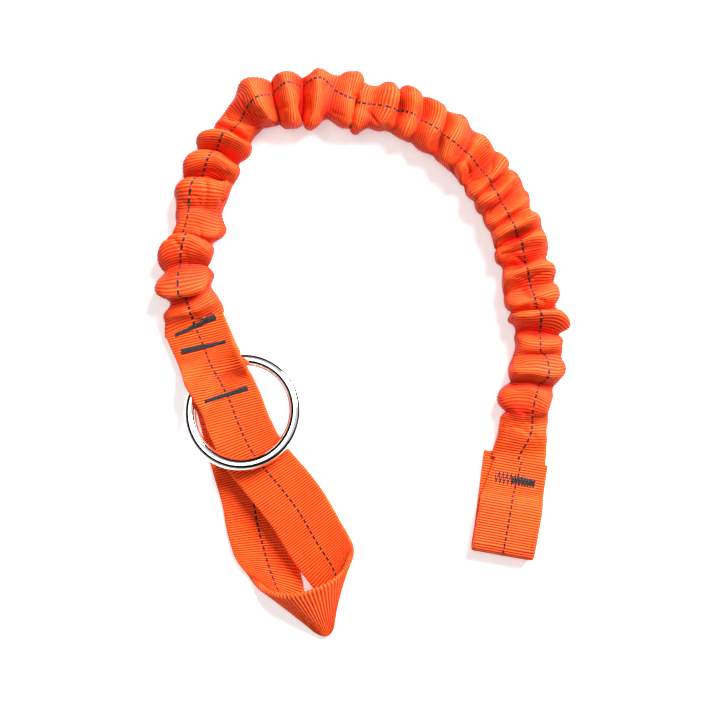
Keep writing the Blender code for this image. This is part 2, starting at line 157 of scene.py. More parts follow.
# The choke loop: outer edge and inner edge of the strap's middle surface (millimetres). Only the first and the
# last row differ from the CAD's.
SEWN = SEWN_LAYER_Z / MM
FLOOR = FLOOR_LAYER_Z / MM
CHOKE_LOOP = [
    ((-57.0, 19.8, SEWN), (-82.0, 13.8, SEWN)),
    ((-50.5, 4.7, SEWN), (-75.3, -1.4, SEWN)),
    ((-46.4, -4.0, SEWN), (-71.2, -10.6, SEWN)),
    ((-40.8, -15.8, SEWN), (-65.2, -22.2, SEWN)),
    ((-37.0, -24.4, 6.2), (-62.0, -31.0, 5.4)),
    ((-31.4, -34.0, 9.3), (-55.0, -45.8, 6.6)),
    ((-20.8, -46.4, 9.5), (-42.6, -61.6, 7.8)),
    ((-14.6, -55.0, 9.6), (-35.4, -71.0, 7.6)),
    ((-8.5, -66.0, 10.0), (-29.0, -81.4, 6.4)),
    ((-4.8, -73.4, 10.6), (-22.4, -90.0, 4.2)),
    ((-3.7, -77.8, 11.0), (-17.6, -96.0, 2.8)),
    ((-5.0, -82.0, 11.6), (-13.4, -103.6, 1.7)),
    ((-8.6, -87.2, 12.8), (-12.2, -109.2, 1.5)),
    ((-14.8, -91.6, 14.4), (-12.9, -112.2, 1.4)),
    ((-22.8, -94.4, 15.2), (-14.6, -113.2, 1.3)),
    ((-30.0, -95.8, 12.6), (-16.4, -112.6, 1.2)),
    ((-36.6, -95.4, 7.4), (-18.8, -111.0, 1.2)),
    ((-41.8, -93.0, 3.2), (-21.2, -107.4, 1.1)),
    ((-46.2, -89.0, FLOOR), (-22.4, -99.0, FLOOR)),
    ((-49.6, -84.6, FLOOR), (-24.6, -88.6, FLOOR)),
    ((-52.0, -79.6, FLOOR), (-27.0, -77.6, FLOOR)),
    ((-54.6, -70.6, FLOOR), (-29.6, -66.8, FLOOR)),
    ((-56.4, -60.2, FLOOR), (-31.6, -55.6, FLOOR)),
    ((-59.6, -49.6, FLOOR), (-35.0, -43.4, FLOOR)),
    ((-63.2, -36.4, FLOOR), (-39.0, -29.0, FLOOR)),
    ((-67.0, -22.6, FLOOR), (-42.4, -15.0, FLOOR)),
    ((-71.2, -10.6, FLOOR), (-46.4, -4.0, FLOOR)),
    ((-75.3, -1.4, FLOOR), (-50.5, 4.7, FLOOR)),
    ((-82.0, 13.8, FLOOR), (-57.0, 19.8, FLOOR)),
]

# Bar tacks: left end, right end, and the bar's width at each (millimetres)
BAR_TACKS = {
    "bar_tack_upper": ((-75.0, 7.7), (-58.9, 15.1), 1.5, 2.6),
    "bar_tack_middle": ((-72.5, 1.2), (-54.8, 5.1), 2.7, 1.4),
    "bar_tack_lower": ((-62.9, -18.8), (-46.1, -13.5), 1.7, 2.3),
}

EYE_START = (63.0, -42.6)
EYE_END = (56.2, -80.6)
EYE_OPENING = 5.6
EYE_TAPER_LENGTH = 18
EYE_NARROWING = 0.15
EYE_START_OFFSET = 1.2
EYE_UNDER_OFFSET = 1.6
EYE_TACK_FROM_END = 8.0
ZIGZAG_HEIGHT = 5.0
SATIN_SPACING = 0.30 * MM
SEWN_TOP = SEWN_LAYER_Z + WEBBING_THICKNESS / 2
RAYS_FROM = 100 * MM


# ------------------------------------------------------------------ small helpers

def unit(vector):
    vector = np.asarray(vector, float)
    return vector / np.linalg.norm(vector)


def smooth_curve(points, spacing):
    """Points about this far apart on a Catmull-Rom curve through the given ones, and the distance to each."""
    points = np.asarray(points, float)
    ends = np.vstack([2 * points[0] - points[1], points, 2 * points[-1] - points[-2]])
    curve = []
    for p0, p1, p2, p3 in zip(ends, ends[1:], ends[2:], ends[3:]):
        for t in np.linspace(0, 1, 33)[:-1]:
            curve.append(
                0.5 * (2 * p1 + (p2 - p0) * t + (2 * p0 - 5 * p1 + 4 * p2 - p3) * t**2
                       + (3 * p1 - p0 - 3 * p2 + p3) * t**3)
            )
    curve.append(points[-1])
    curve = np.array(curve)
    along = np.concatenate([[0], np.cumsum(np.linalg.norm(np.diff(curve, axis=0), axis=1))])
    steps = np.linspace(0, along[-1], max(2, round(along[-1] / spacing)) + 1)
    return np.stack([np.interp(steps, along, column) for column in curve.T], axis=1), steps


def smoothed(values, passes, axis=0):
    """A running 1-2-1 average that keeps both ends."""
    values = np.moveaxis(np.array(values, float), axis, 0)
    for _ in range(passes):
        values[1:-1] = (values[:-2] + 2 * values[1:-1] + values[2:]) / 4
    return np.moveaxis(values, 0, axis)


def surface_normals(grid):
    """Unit outward normals of a sleeve's grid of points, which is closed across its columns."""
    along = np.gradient(grid, axis=0)
    around = np.roll(grid, -1, axis=1) - np.roll(grid, 1, axis=1)
    normals = np.cross(along, around)
    lengths = np.linalg.norm(normals, axis=2, keepdims=True)
    return normals / np.maximum(lengths, 1e-12)


def placed(name, data):
    """A new object in the scene."""
    made = bpy.data.objects.new(name, data)
    bpy.context.scene.collection.objects.link(made)
    return made


def smooth_object(name, mesh, material):
    mesh.materials.append(material)
    mesh.shade_smooth()
    return placed(name, mesh)


def cloth_object(name, grid, u_values, v_values, material, caps=False, shift=None, depth=None):
    """A mesh from rows of points closed across. Its UV map holds metres across and along the cut strap."""
    rows, columns = grid.shape[:2]
    index = np.arange(rows * columns).reshape(rows, columns)
    beside = np.roll(index, -1, axis=1)
    quads = np.stack([index[:-1], beside[:-1], beside[1:], index[1:]], axis=-1).reshape(-1, 4)
    once_round = math.copysign(2 * WEBBING_WIDTH, u_values[-1] - u_values[0])
    u_next = np.append(u_values[1:], u_values[0] + once_round)
    u_corner = np.stack([u_values, u_next, u_next, u_values], axis=-1)
    uv = np.empty((rows - 1, columns, 4, 2))
    uv[..., 0] = u_corner[None]
    if shift is not None:
        uv[..., 0:2, 0] -= shift[:-1, None, None]
        uv[..., 2:4, 0] -= shift[1:, None, None]
    uv[..., 0:2, 1] = v_values[:-1, None, None]
    uv[..., 2:4, 1] = v_values[1:, None, None]
    uv = uv.reshape(-1, 2)
    faces = quads.tolist()
    if caps:
        faces += [index[0][::-1].tolist(), index[-1].tolist()]
        uv = np.concatenate([uv, np.zeros((2 * columns, 2))])
    mesh = bpy.data.meshes.new(name)
    mesh.from_pydata(grid.reshape(-1, 3).tolist(), [], faces)
    layer = mesh.uv_layers.new(name="UVMap")
    layer.data.foreach_set("uv", uv.astype(np.float32).ravel())
    # Painted crease shade: how much each point gets, kept for the webbing's colour to read.
    if depth is not None:
        attribute = mesh.attributes.new("painted_crease_shade", "FLOAT", "POINT")
        attribute.data.foreach_set("value", depth.astype(np.float32).ravel())
    return smooth_object(name, mesh, material)


def plain_object(name, vertices, faces, material):
    mesh = bpy.data.meshes.new(name)
    mesh.from_pydata(np.asarray(vertices).tolist(), [], [list(face) for face in faces])
    return smooth_object(name, mesh, material)


def tube_parts(path, radius, sides=8):
    """Vertices and faces of a closed tube along a path of points."""
    path = np.asarray(path, float)
    tangents = np.gradient(path, axis=0)
    tangents /= np.maximum(np.linalg.norm(tangents, axis=1, keepdims=True), 1e-12)
    side = np.cross(tangents, [0, 0, 1.0])
    flat = np.linalg.norm(side, axis=1) < 1e-6
    side[flat] = [1.0, 0, 0]
    side /= np.linalg.norm(side, axis=1, keepdims=True)
    up = np.cross(side, tangents)
    angles = np.linspace(0, 2 * math.pi, sides, endpoint=False)
    rings = (path[:, None] + radius * (side[:, None] * np.cos(angles)[None, :, None]
                                       + up[:, None] * np.sin(angles)[None, :, None]))
    rows = len(path)
    index = np.arange(rows * sides).reshape(rows, sides)
    beside = np.roll(index, -1, axis=1)
    faces = np.stack([index[:-1], index[1:], beside[1:], beside[:-1]], axis=-1).reshape(-1, 4).tolist()
    faces += [index[0].tolist(), index[-1][::-1].tolist()]
    return rings.reshape(-1, 3), faces


def joined(parts):
    """One list of vertices and faces from several."""
    vertices, faces, start = [], [], 0
    for points, polygons in parts:
        vertices.append(points)
        faces += [[start + i for i in polygon] for polygon in polygons]
        start += len(points)
    return np.concatenate(vertices), faces


# ------------------------------------------------------------------ materials

class Nodes:
    """Short calls for building the nodes of a material, or of the world."""

    def __init__(self, owner, shader="Principled BSDF"):
        owner.use_nodes = True
        self.owner = owner
        self.tree = owner.node_tree
        self.shader = self.tree.nodes[shader]

    def add(self, kind, **settings):
        node = self.tree.nodes.new(kind)
        for key, value in settings.items():
            setattr(node, key, value)
        return node

    def link(self, source, target):
        self.tree.links.new(source, target)

    def fill(self, socket, value):
        """Sets an input to a number or a colour, or links another node's output to it."""
        if isinstance(value, tuple):
            socket.default_value = (*value, 1)
        elif isinstance(value, (int, float)):
            socket.default_value = value
        else:
            self.link(value, socket)

    def give(self, values):
        """Fills the shader's inputs by name."""
        for name, value in values.items():
            self.fill(self.shader.inputs[name], value)

    def math(self, operation, *values, clamp=False):
        node = self.add("ShaderNodeMath", operation=operation, use_clamp=clamp)
        for socket, value in zip(node.inputs, values):
            self.fill(socket, value)
        return node.outputs[0]

    def noise(self, scale, detail, vector=None, roughness=0.5):
        node = self.add("ShaderNodeTexNoise")
        node.inputs["Scale"].default_value = scale
        node.inputs["Detail"].default_value = detail
        node.inputs["Roughness"].default_value = roughness
        if vector is not None:
            self.link(vector, node.inputs["Vector"])
        return node.outputs["Fac"]

    def spread(self, value, amount):
        """A value from 0 to 1, centred on 0 and scaled."""
        return self.math("MULTIPLY", self.math("SUBTRACT", value, 0.5), amount)

    def mix(self, factor, first, second):
        node = self.add("ShaderNodeMix", data_type="RGBA")
        for number, value in ((0, factor), (6, first), (7, second)):
            self.fill(node.inputs[number], value)
        return node.outputs[2]

    def bump(self, height, distance, strength):
        node = self.add("ShaderNodeBump")
        node.inputs["Distance"].default_value = distance
        node.inputs["Strength"].default_value = strength
        self.link(height, node.inputs["Height"])
        return node.outputs["Normal"]


# The webbing's orange with a painted highlight as on lit rib tops, and painted shade for the rib grooves. The
# rib pattern mixes them.
RIDGE_ORANGE_AND_HIGHLIGHT = (1.0, 0.140, 0.016)
GROOVE_PAINTED_SHADE = (0.62, 0.004, 0.0003)

# How far the colour turns to painted crease shade on the sleeve's open cloth, and at its side edges, where
# shade falls
OPEN_DEPTH = 0.16
EDGE_DEPTH = 0.75
# Colours of the painted crease shade, in the rib grooves and on the rib tops
PAINTED_CREASE_SHADE_GROOVE = (0.42, 0.002, 0.0002)
PAINTED_CREASE_SHADE_RIDGE = (0.72, 0.012, 0.001)
SLATE_COLOUR = (0.012, 0.018, 0.020)


def webbing_material():
    """Ribbed orange webbing with a dashed dark tracer. The UV map holds metres on the cut strap."""
    n = Nodes(bpy.data.materials.new("orange_webbing"))
    uv = n.add("ShaderNodeUVMap", uv_map="UVMap").outputs["UV"]
    split = n.add("ShaderNodeSeparateXYZ")
    n.link(uv, split.inputs[0])
    across = n.math("WRAP", split.outputs[0], WEBBING_WIDTH, -WEBBING_WIDTH)
    along = split.outputs[1]
    where = n.add("ShaderNodeTexCoord").outputs["Object"]

    wander = n.noise(220, 2, where)
    bend = n.spread(wander, 0.22 * MM)
    ribs_at = n.math("ADD", along, bend)
    rib = n.math("COSINE", n.math("MULTIPLY", ribs_at, 2 * math.pi / RIB_PITCH))
    rib = n.math("MULTIPLY_ADD", rib, 0.5, 0.5)

    yarn = n.math("SINE", n.math("MULTIPLY", across, 2 * math.pi / (0.42 * MM)))
    twist = n.math("SINE", n.math("MULTIPLY", ribs_at, 2 * math.pi / (RIB_PITCH / 2)))
    weave = n.math("MULTIPLY", yarn, twist)
    fuzz = n.noise(5200, 3, where, 0.6)
    cloud = n.noise(70, 3, where)

    edge = n.math("ABSOLUTE", n.math("SUBTRACT", n.math("ABSOLUTE", across), WEBBING_WIDTH / 2))
    selvedge = n.math("SUBTRACT", 1.0, n.math("DIVIDE", edge, 0.8 * MM), clamp=True)
    dots = n.math("SINE", n.math("MULTIPLY", along, 2 * math.pi / (RIB_PITCH * 0.9)))
    dots = n.math("MULTIPLY_ADD", dots, 0.5, 0.5)
    inside = n.math("MULTIPLY", rib, n.math("SUBTRACT", 1.0, selvedge))
    rib = n.math("ADD", inside, n.math("MULTIPLY", dots, selvedge))

    # Painted shade in the rib grooves and a painted highlight on the rib tops, with random tone from the cloud
    # and fuzz.
    rib_shade_and_tone = n.math("MULTIPLY_ADD", rib, 0.85, 0.06)
    rib_shade_and_tone = n.math("ADD", rib_shade_and_tone, n.spread(cloud, 0.32))
    rib_shade_and_tone = n.math("ADD", rib_shade_and_tone, n.spread(fuzz, 0.35), clamp=True)
    colour = n.mix(rib_shade_and_tone, GROOVE_PAINTED_SHADE, RIDGE_ORANGE_AND_HIGHLIGHT)
    # Painted shade: the sleeve's cloth turns dark red deep in its creases and at its side edges, made uneven
    # with noise.
    crease_shade_amount = n.add("ShaderNodeAttribute", attribute_name="painted_crease_shade").outputs["Fac"]
    uneven_crease_shade = n.math("ADD", crease_shade_amount, n.spread(cloud, 0.3))
    uneven_crease_shade = n.math("MULTIPLY", uneven_crease_shade, n.math("GREATER_THAN", crease_shade_amount, 0.01), clamp=True)
    colour = n.mix(uneven_crease_shade, colour, n.mix(rib_shade_and_tone, PAINTED_CREASE_SHADE_GROOVE, PAINTED_CREASE_SHADE_RIDGE))

    dash = n.math("FRACT", n.math("DIVIDE", along, TRACER_PERIOD))
    dash_on = n.math("LESS_THAN", dash, 0.66)
    ragged = n.spread(fuzz, 0.18 * MM)
    beside = n.math("ABSOLUTE", n.math("ADD", across, ragged))
    near = n.math("LESS_THAN", beside, TRACER_WIDTH / 2)
    tracer = n.math("MULTIPLY", dash_on, near)
    colour = n.mix(tracer, colour, SLATE_COLOUR)

    height = n.math("ADD", rib, n.math("MULTIPLY", weave, 0.16))
    height = n.math("ADD", height, n.math("MULTIPLY", fuzz, 0.35))
    height = n.math("ADD", height, n.math("MULTIPLY", tracer, 0.5))
    n.give({
        "Base Color": colour,
        "Roughness": n.math("MULTIPLY_ADD", fuzz, 0.25, 0.5),
        "Sheen Weight": 0.08,
        "Sheen Roughness": 0.4,
        "Sheen Tint": (1.0, 0.40, 0.16),
        "Specular IOR Level": 0.18,
        "Normal": n.bump(height, 0.30 * MM, 0.8),
    })
    return n.owner


def thread_material():
    n = Nodes(bpy.data.materials.new("slate_thread"))
    where = n.add("ShaderNodeTexCoord").outputs["Object"]
    twist = n.add("ShaderNodeTexWave", wave_type="BANDS", bands_direction="DIAGONAL")
    twist.inputs["Scale"].default_value = 1500
    twist.inputs["Distortion"].default_value = 2.0
    n.link(where, twist.inputs["Vector"])
    fuzz = n.noise(4000, 3, where)
    shade = n.math("MULTIPLY", twist.outputs["Fac"], fuzz)
    n.give({
        "Base Color": n.mix(shade, (0.007, 0.011, 0.013), (0.032, 0.045, 0.050)),
        "Roughness": n.math("MULTIPLY_ADD", fuzz, 0.3, 0.42),
        "Sheen Weight": 0.05,
        "Specular IOR Level": 0.15,
        "Normal": n.bump(twist.outputs["Fac"], 0.06 * MM, 0.8),
    })
    return n.owner


def chrome_material():
    n = Nodes(bpy.data.materials.new("chrome_wire"))
    where = n.add("ShaderNodeTexCoord").outputs["Object"]
    haze, smear = n.noise(900, 4, where), n.noise(160, 5, where)
    n.give({
        "Metallic": 1.0,
        "Base Color": n.mix(haze, (0.90, 0.90, 0.91), (0.97, 0.97, 0.97)),
        "Roughness": n.math("MULTIPLY_ADD", smear, 0.07, 0.015),
        "Normal": n.bump(n.noise(420, 3, where), 0.02 * MM, 0.25),
    })
    return n.owner


def elastic_material():
    n = Nodes(bpy.data.materials.new("elastic_braid"))
    where = n.add("ShaderNodeTexCoord").outputs["Object"]
    fuzz = n.noise(3000, 3, where)
    n.give({
        "Base Color": n.mix(fuzz, (0.42, 0.40, 0.36), (0.75, 0.73, 0.68)),
        "Roughness": 0.8,
        "Normal": n.bump(fuzz, 0.1 * MM, 0.5),
    })
    return n.owner


WEBBING = webbing_material()
THREAD = thread_material()
CHROME = chrome_material()
ELASTIC = elastic_material()


# ------------------------------------------------------------------ gathered sleeve

def fold_table():
    """FOLDS with its crests raised and its folds loosened."""
    folds = np.array(FOLDS)
    crests = folds[:, CREST_Z]
    raised = crests + CREST_RAISE * (crests - CREST_BASE)
    folds[:, CREST_Z] = np.where(crests > CREST_FROM, raised, crests)
    folds[:, TIGHT] *= TIGHTNESS_SHARE
    for number, tightness in CLOSED_FOLDS.items():
        folds[number, TIGHT] = tightness
    return folds


def fold_profile():
    """Rows along the sleeve's cut length: cut distance, distance along the route, share of the way from
    valley to crest, and the number of the crest as a fraction."""
    folds = fold_table()
    cut, place, rise, number = [0.0], [folds[0][ROUTE] * MM], [1.0], [0.0]
    step = RIB_PITCH / ROWS_PER_RIB
    fine = np.linspace(0, 1, 201)
    for i, (fold, following) in enumerate(zip(folds, folds[1:])):
        pitch = (following[ROUTE] - fold[ROUTE]) * MM
        top = (fold[CREST_Z] + following[CREST_Z]) / 2
        deepest = max(fold[VALLEY_TOP], 0.8 * fold[VALLEY_LEFT], 0.8 * fold[VALLEY_RIGHT])
        depth = max(0.3, (top - VALLEY_Z) * deepest) * MM
        advance = pitch * (fine + fold[TIGHT] * np.sin(2 * math.pi * fine) / (2 * math.pi))
        height = 0.5 + 0.5 * np.cos(2 * math.pi * fine)
        spent = np.concatenate([[0], np.cumsum(np.hypot(np.diff(advance), np.diff(height) * depth))])
        count = max(8, round(spent[-1] / step))
        for distance in np.linspace(0, spent[-1], count + 1)[1:]:
            cut.append(cut[-1] + spent[-1] / count)
            place.append(fold[ROUTE] * MM + np.interp(distance, spent, advance))
            rise.append(np.interp(distance, spent, height))
            number.append(i + np.interp(distance, spent, fine))
    return np.array(cut), np.array(place), np.clip(rise, 0, 1), np.array(number)


def eased(number, values):
    """A value between neighbouring folds, turning smoothly from one to the next."""
    low = np.minimum(number.astype(int), len(values) - 2)
    share = number - low
    share = share * share * (3 - 2 * share)
    return values[low] * (1 - share) + values[low + 1] * share


def valley(number, rise, values):
    """How far down the valley after each crest a row lies, as a share of the full depth."""
    return values[np.minimum(number.astype(int), len(values) - 1)] * (1 - rise)


def oval_section(columns):
    """Points evenly spaced round a flat-topped oval from the middle of its top: the angle, the share of the
    half-width, the share of the half-height, and the distance across the strap."""
    angles = math.pi / 2 + np.linspace(0, 2 * math.pi, 2001)
    wide = np.sign(np.cos(angles)) * np.abs(np.cos(angles)) ** OVAL_POWER
    high = np.sign(np.sin(angles)) * np.abs(np.sin(angles)) ** OVAL_POWER
    spent = np.concatenate([[0], np.cumsum(np.hypot(np.diff(wide) * 11, np.diff(high) * 6))])
    spent /= spent[-1]
    even = np.arange(columns) / columns
    picked = [np.interp(even, spent, values) for values in (angles, wide, high)]
    return (*picked, -2 * WEBBING_WIDTH * even)


def soft_noise(points, wavelength, seed, waves=14):
    """A smooth field between about -1 and 1 over points in space."""
    rng = np.random.default_rng(seed)
    total = np.zeros(points.shape[:-1])
    for _ in range(waves):
        direction = unit(rng.normal(size=3)) * 2 * math.pi / (wavelength * rng.uniform(0.7, 1.4))
        total += np.sin(points @ direction + rng.uniform(0, 2 * math.pi))
    return total / math.sqrt(waves)


def creases(points, wavelength, seed):
    """Narrow wandering lines, 1 at their middles, that fade in and out."""
    line = np.exp(-(soft_noise(points, wavelength, seed) / 0.22) ** 2)
    return line * np.clip(soft_noise(points, wavelength * 1.3, seed + 1) + 0.3, 0, 1)


def painted_crease_shade(number, rise, folds, wide):
    """How much painted shade each point of the sleeve gets for lying deep in a crease or at a side edge, from
    OPEN_DEPTH to 1.
    """
    left_valley = valley(number, rise, folds[:, VALLEY_LEFT])[:, None]
    right_valley = valley(number, rise, folds[:, VALLEY_RIGHT])[:, None]
    top_valley = valley(number, rise, folds[:, VALLEY_TOP])[:, None]
    side_depth = 0.5 * ((1 - wide) * left_valley + (1 + wide) * right_valley)
    over_depth = top_valley * np.clip(1.2 - abs(wide), 0, 1)
    valley_depth = np.clip(np.maximum(over_depth, side_depth), 0, 1)
    edge_depth = np.clip((abs(wide) - 0.70) / 0.30, 0, 1) * EDGE_DEPTH
    depth = OPEN_DEPTH + (1 - OPEN_DEPTH) * valley_depth**0.8
    return np.clip(np.maximum(depth, edge_depth), 0, 1)


def sleeve_grid(columns=80):
    """Rows of points round the gathered sleeve, with their distances across and along the cut strap and along
    the route, how far right the tracer lies, and how deep in a crease each point is."""
    cut, place, rise, number = fold_profile()
    folds = fold_table()
    left, right = eased(number, folds[:, LEFT]), eased(number, folds[:, RIGHT])
    crest_z, lean = eased(number, folds[:, CREST_Z]), eased(number, folds[:, LEAN])
    ahead = {-1: eased(number, folds[:, SKEW_LEFT]), 1: eased(number, folds[:, SKEW_RIGHT])}
    tracer = eased(number, folds[:, TRACER]) * MM
    high_enough = np.clip((crest_z - 5) / 6, 0, 1)
    top = crest_z - np.maximum(crest_z - VALLEY_Z, 0) * valley(number, rise, folds[:, VALLEY_TOP])
    half = {
        -1: left - (left - VALLEY_HALF_WIDTH) * valley(number, rise, folds[:, VALLEY_LEFT]) * high_enough,
        1: right - (right - VALLEY_HALF_WIDTH) * valley(number, rise, folds[:, VALLEY_RIGHT]) * high_enough,
    }
    bottom = BOTTOM_LIFT * (1 - rise) * high_enough

    route, along = smooth_curve(np.array(SLEEVE_ROUTE), 0.5)
    along_m = along * MM
    tangents = np.gradient(route, axis=0)
    tangents /= np.linalg.norm(tangents, axis=1)[:, None]
    tangents = smoothed(tangents, 60)

    angles, wide, high, u_values = oval_section(columns)
    sines = np.sin(angles)
    rng = np.random.default_rng(11)
    starts = rng.uniform(0, 2 * math.pi, (5, 2))[:, 0]
    cut_mm = cut / MM
    even = smoothed(place, PLACE_PASSES)
    grid = np.empty((len(cut), columns, 3))
    for k in range(columns):
        upper = min(1.0, max(0.0, (sines[k] + 0.7) / 0.9))
        follows = 0.35 + 0.65 * upper * upper * (3 - 2 * upper)
        side = 1 if wide[k] > 0 else -1
        ripple = sum(
            np.sin(starts[i] + (i % 3 + 1) * angles[k] + cut_mm * (0.16 + 0.09 * i)) for i in range(5)
        ) / 3
        spot = even + (place - even) * follows
        spot = spot + (ahead[side] * abs(wide[k]) ** 1.3) * MM
        spot = spot + (lean * rise * max(0.0, sines[k]) + 0.7 * ripple) * high_enough * MM
        x = np.interp(spot, along_m, route[:, 0])
        y = np.interp(spot, along_m, route[:, 1])
        tx = np.interp(spot, along_m, tangents[:, 0])
        ty = np.interp(spot, along_m, tangents[:, 1])
        before = np.minimum(spot, 0) / MM
        beyond = np.maximum(spot - along_m[-1], 0) / MM
        x = x + before * tangents[0, 0] + beyond * tangents[-1, 0]
        y = y + before * tangents[0, 1] + beyond * tangents[-1, 1]
        sideways = half[side] * wide[k] + 0.35 * ripple * abs(wide[k]) * high_enough
        middle = (top + bottom) / 2
        upward = middle + (top - bottom) / 2 * high[k] + 0.5 * ripple * max(0.0, high[k]) * high_enough
        grid[:, k, 0] = x + ty * sideways
        grid[:, k, 1] = y - tx * sideways
        grid[:, k, 2] = np.maximum(upward, 0.25)
    grid *= MM
    grid = smoothed(grid, 3)
    normals = surface_normals(grid)
    crumple = creases(grid, 15 * MM, 5) * CRUMPLE_DEPTH + creases(grid, 9 * MM, 8) * FINE_CRUMPLE_DEPTH
    swell = soft_noise(grid, 13 * MM, 3) * SWELL_HEIGHT
    room = high_enough[:, None] * np.clip(high[None, :] * 1.5 + 0.8, 0, 1)
    grid = grid + normals * ((swell - crumple) * room)[:, :, None]
    lowest = np.where(high > 0.5, SLEEVE_TOP_FLOOR, 0)[None, :] * high_enough[:, None]
    grid[:, :, 2] = np.maximum(grid[:, :, 2], lowest)
    grid = smoothed(grid, 2)
    normals = surface_normals(grid)
    rib = 0.5 + 0.5 * np.cos(2 * math.pi * cut / RIB_PITCH)
    grid = grid + normals * (rib[:, None, None] - 0.5) * RIB_HEIGHT
    grid[:, :, 2] = np.maximum(grid[:, :, 2], 0.05 * MM)
    # How much painted shade each point gets, none where the sleeve lies flat.
    depth = painted_crease_shade(number, rise, folds, wide) * high_enough[:, None]
    return grid, u_values, cut, place, tracer, depth


def sleeve_route():
    """The sleeve's route as points in millimetres, and their distances along it."""
    return smooth_curve(np.array(SLEEVE_ROUTE), ROUTE_SPACING)


def section_middles():
    """The middles of the CAD's sleeve sections, as distances along the route."""
    count = sum(name.startswith("sleeve_section") for name in frame["nodes"])
    step = (sleeve_route()[1][-1] * MM - HIDDEN_START - HIDDEN_END) / count
    return [HIDDEN_START + (i + 0.5) * step for i in range(count)]


def stretch_between(piece, k, kind):
    """Bakes piece k of the sleeve or the core's transform into its mesh, and hides the CAD sections it
    replaces.
    """
    middles = section_middles()
    route, along = sleeve_route()
    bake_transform(piece)
    replaced = (0, 1) if k == 0 else (k + 1,)
    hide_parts(*(f"{kind}_{i}" for i in replaced))


def make_sleeve():
    grid, u_values, cut, place, tracer, depth = sleeve_grid()
    smooth_place = smoothed(place, PLACE_PASSES)
    rib_number = np.round(cut / RIB_PITCH - 0.5)
    cuts = [0]
    for middle in section_middles()[1:-1]:
        near = int(np.argmin(abs(smooth_place - middle)))
        groove = (rib_number[near] + 0.5) * RIB_PITCH
        cuts.append(int(np.argmin(abs(cut - groove))))
    cuts.append(len(cut) - 1)
    made = []
    for k, (first, last) in enumerate(zip(cuts, cuts[1:])):
        rows = slice(first, last + 1)
        piece = cloth_object(
            f"sleeve_{k}", grid[rows], u_values, cut[rows], WEBBING, shift=tracer[rows], depth=depth[rows]
        )
        stretch_between(piece, k, "sleeve_section")
        made.append(piece)
    return made


def make_core():
    """The elastic core, cut into pieces where the sleeve is, with a braid raised on its surface."""
    route, along = sleeve_route()
    ends = [HIDDEN_START + CLEARANCE, *section_middles()[1:-1], along[-1] * MM - CORE_SHORT_OF_END]
    whole = ends[-1] - ends[0]
    angles = np.linspace(0, 2 * math.pi, 28, endpoint=False)
    for k, (first, last) in enumerate(zip(ends, ends[1:])):
        stations = np.linspace(first, last, round((last - first) / CORE_ROW_SPACING))
        near_end = np.clip(np.minimum(stations - ends[0], ends[-1] - stations) / CORE_TAPER, 0, 1)
        radius = (CORE_END_RADIUS + CORE_MORE_RADIUS * near_end**0.7) * MM
        middle_z = CORE_BOTTOM + radius
        spot = stations / MM
        x, y = np.interp(spot, along, route[:, 0]) * MM, np.interp(spot, along, route[:, 1]) * MM
        tangent = np.gradient(np.column_stack([x, y]), axis=0)
        tangent /= np.linalg.norm(tangent, axis=1)[:, None]
        turn = 2 * math.pi * (stations[:, None] / BRAID_PITCH)
        strands = BRAID_STRANDS * angles[None]
        braid = np.sin(strands + turn) * np.sin(strands - turn)
        around = radius[:, None] * (1 + BRAID_HEIGHT * braid)
        grid = np.stack([
            x[:, None] + tangent[:, 1:2] * around * np.cos(angles)[None],
            y[:, None] - tangent[:, 0:1] * around * np.cos(angles)[None],
            middle_z[:, None] + around * np.sin(angles)[None],
        ], axis=2)
        piece = cloth_object(f"core_{k}", grid, angles * radius.mean(), stations - whole, ELASTIC, caps=True)
        stretch_between(piece, k, "elastic_core")


# ------------------------------------------------------------------ straps

def strap_section(columns_flat=26, columns_edge=5):
    """The outline of the flat strap's cross-section, as (across, up) and its distance round: the marked face
    first, then an edge, the plain face and the other edge."""
    half = WEBBING_WIDTH / 2
    radius = WEBBING_THICKNESS / 2
    straight = half - radius
    points = []
    for share in np.linspace(-1, 1, columns_flat):
        points.append((share * straight, radius, share * straight))
    for angle in np.linspace(90, -90, columns_edge + 2)[1:-1]:
        a = math.radians(angle)
        up = radius * math.sin(a)
        points.append((straight + radius * math.cos(a), up, half - up * 0.5))
    for share in np.linspace(1, -1, columns_flat):
        points.append((share * straight, -radius, WEBBING_WIDTH - share * straight))
    for angle in np.linspace(-90, -270, columns_edge + 2)[1:-1]:
        a = math.radians(angle)
        up = radius * math.sin(a)
        points.append((-straight + radius * math.cos(a), up, 1.5 * WEBBING_WIDTH + up * 0.5))
    return np.array(points)


STRAP_SECTION = strap_section()


def strap_grid(sheet, cut, marked_side):
    """The strap's outer surface from its middle surface, which has one column for each share of the width."""
    along = np.gradient(sheet, axis=0)
    across = np.gradient(sheet, axis=1)
    normals = np.cross(along, across) * marked_side
    normals /= np.maximum(np.linalg.norm(normals, axis=2, keepdims=True), 1e-12)
    shares = np.linspace(-0.5, 0.5, sheet.shape[1])
    grid = np.empty((len(sheet), len(STRAP_SECTION), 3))
    ribs = 0.5 * np.cos(2 * math.pi * cut / RIB_PITCH)
    for k, (sideways, up, _) in enumerate(STRAP_SECTION):
        share = sideways / WEBBING_WIDTH
        middle = np.stack([column_at(sheet[:, :, axis], shares, share) for axis in range(3)], axis=1)
        normal = np.stack([column_at(normals[:, :, axis], shares, share) for axis in range(3)], axis=1)
        flat = abs(up) / (WEBBING_THICKNESS / 2)
        grid[:, k] = middle + normal * (up + np.sign(up) * flat * ribs * RIB_HEIGHT)[:, None]
    return grid


def column_at(values, shares, share):
    """Values between two columns of a grid."""
    place = np.interp(share, shares, np.arange(len(shares)))
    low = min(int(place), len(shares) - 2)
    return values[:, low] * (low + 1 - place) + values[:, low + 1] * (place - low)


# ------------------------------------------------------------------ ring

